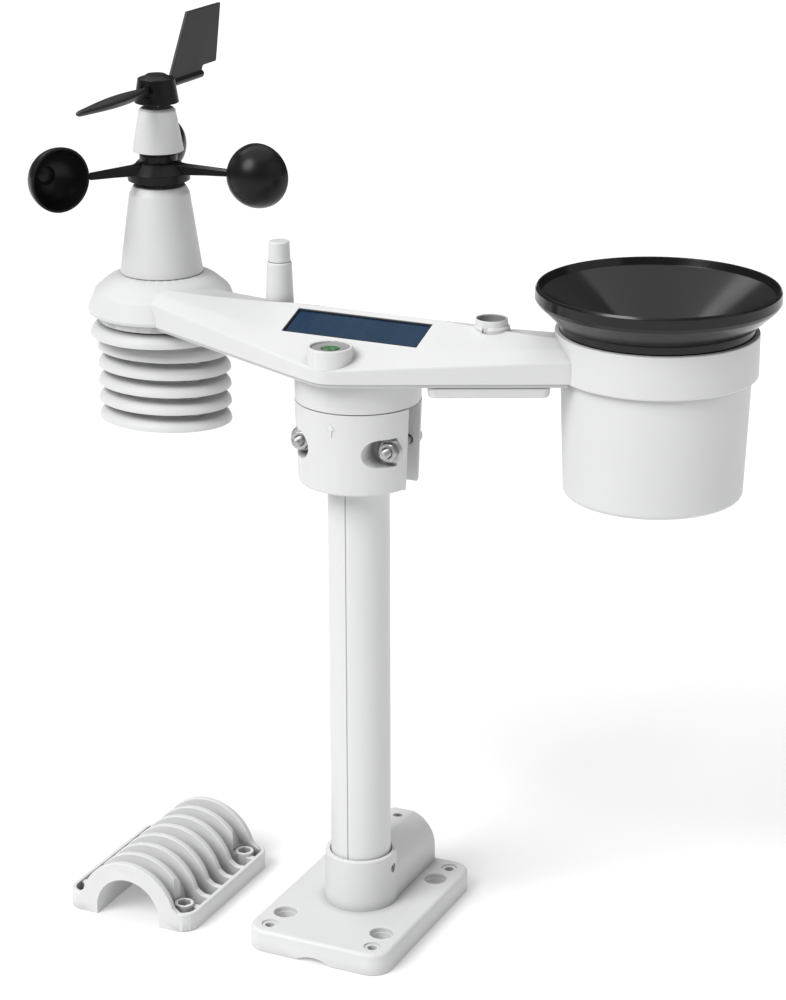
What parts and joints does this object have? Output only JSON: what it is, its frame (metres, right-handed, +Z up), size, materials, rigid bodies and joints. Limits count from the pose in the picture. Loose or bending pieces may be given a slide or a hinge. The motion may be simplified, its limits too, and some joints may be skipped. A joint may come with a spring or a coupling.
{
  "type": "weather station",
  "caption": "Pole-mounted outdoor weather station head with wind cups, vane, radiation shield, rain gauge and solar panel on a rectangular mounting base, with a spare clamp half.",
  "frame": {"origin": "middle of the footprint of the whole object, on the surface the base stands on", "axes": "+Z up along the pole, +X towards the rain gauge, +Y towards the back of the head"},
  "size_m": [0.4254, 0.1954, 0.511],
  "materials": {
    "white_plastic": "satin moulded white plastic",
    "pole_paint": "smooth white powder coat",
    "black_plastic": "gloss black moulded plastic",
    "dark_trim": "dark satin plastic",
    "solar_glass": "dark blue cell under a smooth cover",
    "level_fluid": "green fluid in a moulded vial",
    "level_glass": "clear lens",
    "grey_plastic": "pale grey translucent plastic",
    "steel": "plain bright steel",
    "cell_wrap": "printed-film wrap with no markings",
    "board": "green board lacquer"
  },
  "bodies": {
    "stand": {"base_plate": "white_plastic", "socket_screw": "steel", "side_socket_screw": "steel", "pole": "pole_paint"},
    "head": {"clamp_front_half": "white_plastic", "clamp_rear_half": "white_plastic", "clamp_bolt_left": "steel", "clamp_nut_left": "steel", "clamp_bolt_right": "steel", "clamp_nut_right": "steel", "head_cover": "white_plastic", "head_tray": "white_plastic", "solar_frame": "dark_trim", "solar_cell": "solar_glass", "level_vial": "level_fluid", "level_lens": "level_glass", "light_bezel": "white_plastic", "light_diffuser": "grey_plastic", "antenna_sleeve": "white_plastic", "antenna_tip": "white_plastic", "battery_cell_1": "cell_wrap", "battery_cell_2": "cell_wrap", "battery_cell_3": "cell_wrap", "main_board": "board", "wind_tower": "white_plastic", "tower_core": "steel", "upper_cone": "white_plastic", "louvre_1": "white_plastic", "louvre_2": "white_plastic", "louvre_3": "white_plastic", "louvre_4": "white_plastic", "louvre_5": "white_plastic", "louvre_6": "white_plastic", "shield_rod_1": "steel", "shield_rod_2": "steel", "shield_rod_3": "steel", "humidity_probe": "grey_plastic", "rain_bucket": "white_plastic", "tipper_axle": "steel"},
    "cup_rotor": {"rotor_hub": "black_plastic", "cup_1": "black_plastic", "cup_2": "black_plastic", "cup_3": "black_plastic"},
    "vane": {"vane_shaft": "steel", "vane_hub": "black_plastic", "vane_nose": "black_plastic", "vane_tail": "black_plastic"},
    "funnel": {"rain_funnel": "black_plastic"},
    "tipper": {"tipping_bucket": "dark_trim"},
    "door": {"battery_door": "white_plastic"},
    "spare": {"spare_clamp": "white_plastic"}
  },
  "joints": [
    {"name": "head_swivel", "type": "hinge", "parent": "stand", "child": "head", "pos_m": [-0.009, -0.0332, 0.3], "axis": [0, 0, 1], "continuous": true},
    {"name": "cup_spin", "type": "hinge", "parent": "head", "child": "cup_rotor", "pos_m": [-0.1629, 0.0202, 0.427], "axis": [0, 0, 1], "continuous": true},
    {"name": "vane_spin", "type": "hinge", "parent": "head", "child": "vane", "pos_m": [-0.1629, 0.0202, 0.4725], "axis": [0, 0, 1], "continuous": true},
    {"name": "funnel_lift", "type": "slide", "parent": "head", "child": "funnel", "axis": [0, 0, 1], "range_m": [0, 0.06]},
    {"name": "tipper_rock", "type": "hinge", "parent": "head", "child": "tipper", "pos_m": [0.1458, 0.0202, 0.306], "axis": [0, 1, 0], "range_deg": [-36, 0]},
    {"name": "door_drop", "type": "slide", "parent": "head", "child": "door", "axis": [0, 0, -1], "range_m": [0, 0.03]},
    {"name": "spare_lift", "type": "slide", "parent": "stand", "child": "spare", "axis": [0, 0, 1], "range_m": [0, 0.12]}
  ]
}
